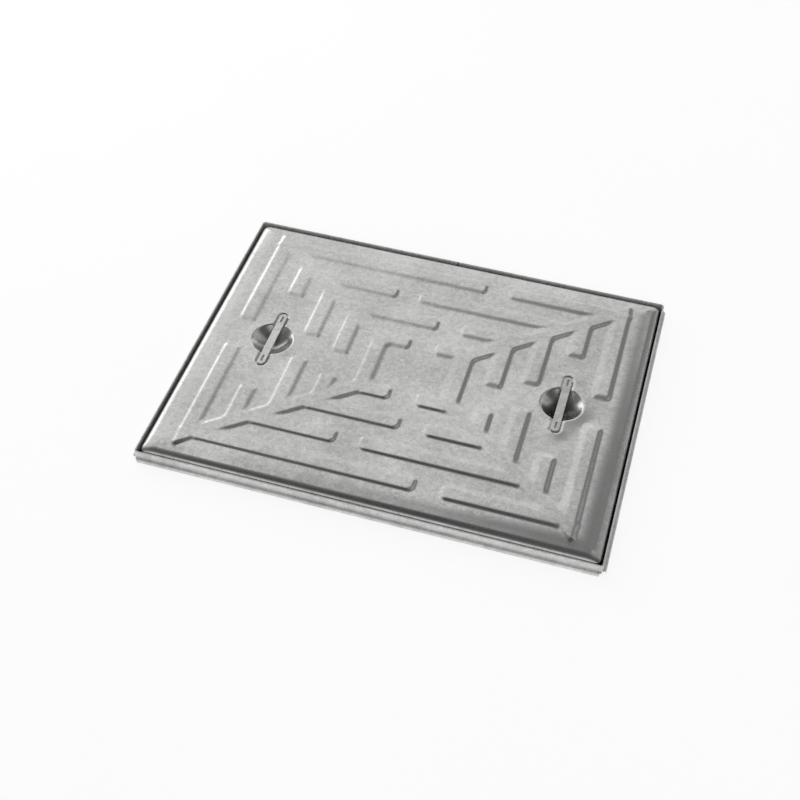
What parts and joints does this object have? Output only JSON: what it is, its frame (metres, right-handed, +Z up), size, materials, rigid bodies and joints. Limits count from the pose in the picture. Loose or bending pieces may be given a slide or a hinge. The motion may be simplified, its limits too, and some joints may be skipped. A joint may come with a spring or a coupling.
{
  "type": "manhole cover",
  "caption": "Galvanised pressed steel access cover in a folded steel frame, with a raised pattern of nested bars and a dished lifting point at each short side.",
  "frame": {"origin": "Middle of the clear opening, on the bedding plane under the frame; this is the centre of the bottom of the bounding box.", "axes": "+Z points up out of the ground. X runs along the long side of the cover and Y along the short side; the front is -Y."},
  "size_m": [0.6824, 0.5324, 0.0236],
  "materials": {
    "galvanised_frame": "hot-dip galvanised strip, dull grey with faint streaks",
    "galvanised_cover": "galvanised pressed sheet, satin grey with a faint mottled spangle",
    "galvanised_strap": "galvanised flat bar, satin grey",
    "weld_metal": "weld bead dressed and coated with zinc paint, dull grey",
    "seal_rubber": "black foam rubber strip, matt"
  },
  "bodies": {
    "frame": {"frame_strip": "galvanised_frame", "frame_butt_weld": "weld_metal", "corner_seam_welds": "weld_metal", "skirt_seal": "seal_rubber"},
    "cover": {"cover_plate": "galvanised_cover", "stiffener_front": "galvanised_cover", "stiffener_rear": "galvanised_cover", "lifting_strap_left": "galvanised_strap", "lifting_strap_right": "galvanised_strap", "strap_welds_left": "weld_metal", "strap_welds_right": "weld_metal"}
  },
  "joints": [
    {"name": "cover_lift", "type": "slide", "parent": "frame", "child": "cover", "axis": [0, 0, 1], "range_m": [0, 0.08]}
  ]
}
